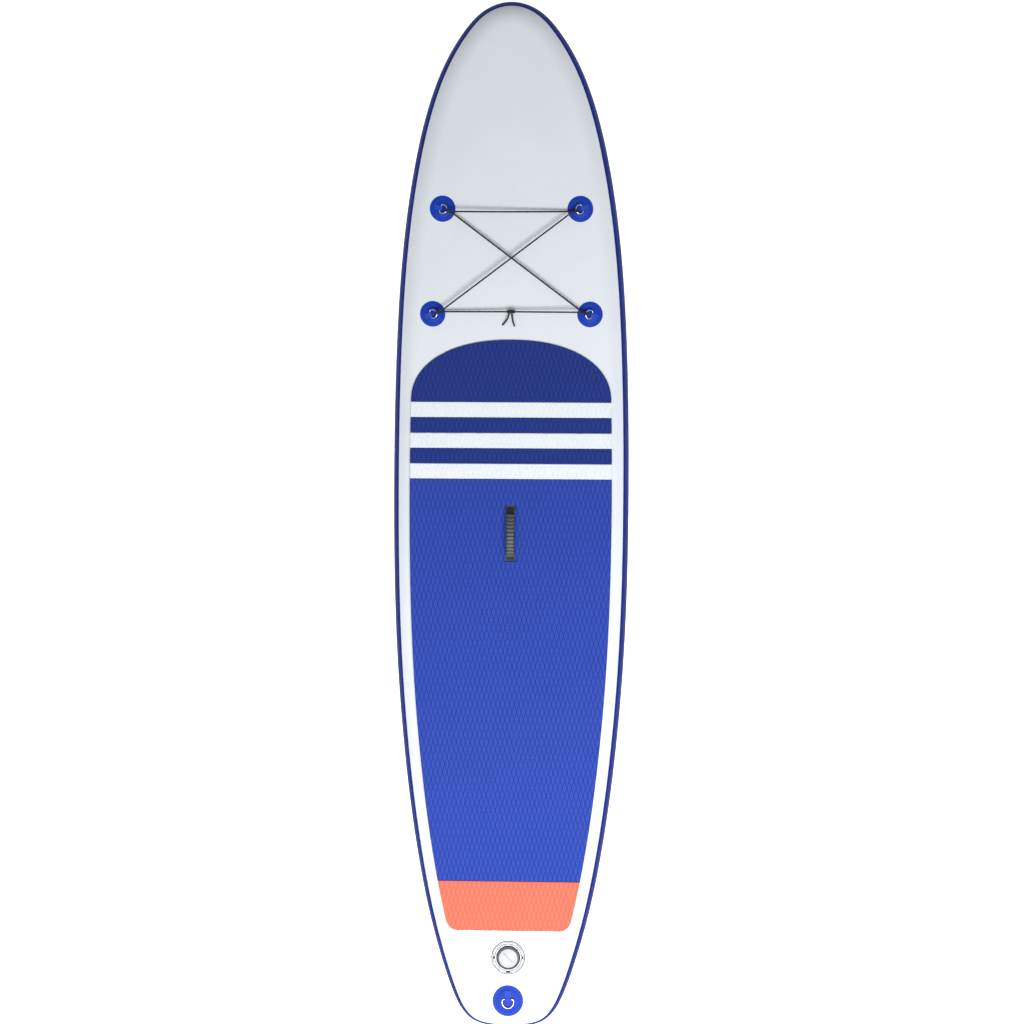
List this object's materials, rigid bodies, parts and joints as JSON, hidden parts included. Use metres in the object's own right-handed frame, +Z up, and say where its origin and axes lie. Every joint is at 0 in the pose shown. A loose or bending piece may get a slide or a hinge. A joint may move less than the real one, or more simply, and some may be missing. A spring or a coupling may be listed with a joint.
{
  "type": "inflatable stand up paddleboard",
  "caption": "Inflatable stand up paddleboard with foam deck pads, carry handle, cargo bungee on rings, inflation valve, leash ring, removable centre fin and side fins.",
  "frame": {"origin": "centre of the flat hull bottom, midway between nose and tail", "axes": "+X to starboard across the board, +Y to the nose along the board, +Z up out of the deck"},
  "size_m": [0.762, 3.272, 0.5448],
  "materials": {
    "white_pvc": "satin coated fabric",
    "blue_pvc": "satin coated fabric",
    "tape_pvc": "satin coated fabric",
    "thread": "twisted polyester",
    "blue_foam": "closed cell foam, diamond grooved",
    "white_foam": "closed cell foam, brushed",
    "coral_foam": "closed cell foam, diamond grooved",
    "blue_patch": "moulded PVC",
    "blue_webbing": "woven strap",
    "steel": "polished stainless steel",
    "black_cord": "braided elastic cord",
    "black_webbing": "woven strap",
    "black_rubber": "ribbed rubber",
    "black_plastic": "moulded nylon",
    "collar_pvc": "printed PVC ring",
    "grey_plastic": "moulded nylon",
    "spring_steel": "drawn wire",
    "seal_rubber": "silicone",
    "brass": "turned",
    "fin_plastic": "moulded nylon",
    "soft_fin": "moulded flexible PVC"
  },
  "bodies": {
    "board": {"deck_skin": "white_pvc", "hull_skin": "white_pvc", "seam_tape": "tape_pvc", "rail_band": "blue_pvc", "drop_stitch_threads": "thread", "dome_pad": "blue_foam", "main_pad": "blue_foam", "blue_stripe_front": "blue_foam", "blue_stripe_rear": "blue_foam", "white_stripe_front": "white_foam", "white_stripe_middle": "white_foam", "white_stripe_rear": "white_foam", "tail_pad": "coral_foam", "ring_patch_front_left": "blue_patch", "ring_tab_front_left": "blue_webbing", "ring_patch_front_right": "blue_patch", "ring_tab_front_right": "blue_webbing", "ring_patch_rear_left": "blue_patch", "ring_tab_rear_left": "blue_webbing", "ring_patch_rear_right": "blue_patch", "ring_tab_rear_right": "blue_webbing", "leash_patch": "blue_patch", "leash_tab": "blue_webbing", "bungee_cord": "black_cord", "bungee_knot": "black_cord", "bungee_tail_left": "black_cord", "bungee_tail_right": "black_cord", "handle_webbing": "black_webbing", "handle_patch_front": "blue_patch", "handle_patch_rear": "blue_patch", "valve_collar": "collar_pvc", "valve_body": "black_plastic", "valve_gasket": "seal_rubber", "valve_nut": "black_plastic", "valve_spring": "spring_steel", "fin_box": "black_plastic", "side_fin_base_left": "soft_fin", "side_fin_left": "soft_fin", "side_fin_base_right": "soft_fin", "side_fin_right": "soft_fin"},
    "ring_front_left": {"d_ring_front_left": "steel"},
    "ring_front_right": {"d_ring_front_right": "steel"},
    "ring_rear_left": {"d_ring_rear_left": "steel"},
    "ring_rear_right": {"d_ring_rear_right": "steel"},
    "leash_ring": {"leash_ring": "steel"},
    "handle": {"handle_grip": "black_rubber"},
    "valve_stem": {"valve_stem": "black_plastic"},
    "valve_cap": {"valve_cap": "grey_plastic"},
    "centre_fin": {"centre_fin": "fin_plastic", "fin_pin": "brass", "fin_nut": "brass"},
    "fin_screw": {"fin_screw": "black_plastic"}
  },
  "joints": [
    {"name": "ring_swing_front_left", "type": "hinge", "parent": "board", "child": "ring_front_left", "pos_m": [-0.21957, 1.02489, 0.21572], "axis": [-0.3006, -0.9425, -0.1462], "range_deg": [-15, 40], "stiffness_Nm_per_rad": 0.02, "deforming": ["bungee_cord"]},
    {"name": "ring_swing_front_right", "type": "hinge", "parent": "board", "child": "ring_front_right", "pos_m": [0.21957, 1.02489, 0.21572], "axis": [-0.3006, 0.9425, 0.1462], "range_deg": [-15, 40], "stiffness_Nm_per_rad": 0.02, "deforming": ["bungee_cord"]},
    {"name": "ring_swing_rear_left", "type": "hinge", "parent": "board", "child": "ring_rear_left", "pos_m": [-0.25347, 0.69868, 0.17585], "axis": [0.3006, -0.95, -0.0852], "range_deg": [-15, 40], "stiffness_Nm_per_rad": 0.02, "deforming": ["bungee_cord"]},
    {"name": "ring_swing_rear_right", "type": "hinge", "parent": "board", "child": "ring_rear_right", "pos_m": [0.25347, 0.69868, 0.17585], "axis": [0.3006, 0.95, 0.0852], "range_deg": [-15, 40], "stiffness_Nm_per_rad": 0.02, "deforming": ["bungee_cord"]},
    {"name": "leash_ring_swing", "type": "hinge", "parent": "board", "child": "leash_ring", "pos_m": [0, -1.52227, 0.18786], "axis": [-1, 0, 0], "range_deg": [0, 150]},
    {"name": "handle_lift", "type": "slide", "parent": "board", "child": "handle", "axis": [0, 0, 1], "range_m": [0, 0.02], "deforming": ["handle_webbing"]},
    {"name": "valve_cap_twist", "type": "hinge", "parent": "board", "child": "valve_cap", "pos_m": [0, -1.38855, 0.17241], "axis": [0, 0.0894, 0.996], "range_deg": [0, 90]},
    {"name": "valve_stem_push", "type": "slide", "parent": "board", "child": "valve_stem", "axis": [0, -0.0894, -0.996], "range_m": [0, 0.005], "stiffness_N_per_m": 600, "springref_m": -0.002, "deforming": ["valve_spring"]},
    {"name": "fin_slide", "type": "slide", "parent": "board", "child": "centre_fin", "axis": [0, 0.9989, -0.0478], "range_m": [-0.02, 0.02]},
    {"name": "fin_screw_turn", "type": "hinge", "parent": "centre_fin", "child": "fin_screw", "pos_m": [0, -1.13253, -0.02884], "axis": [0, 0.0478, 0.9989], "continuous": true}
  ]
}
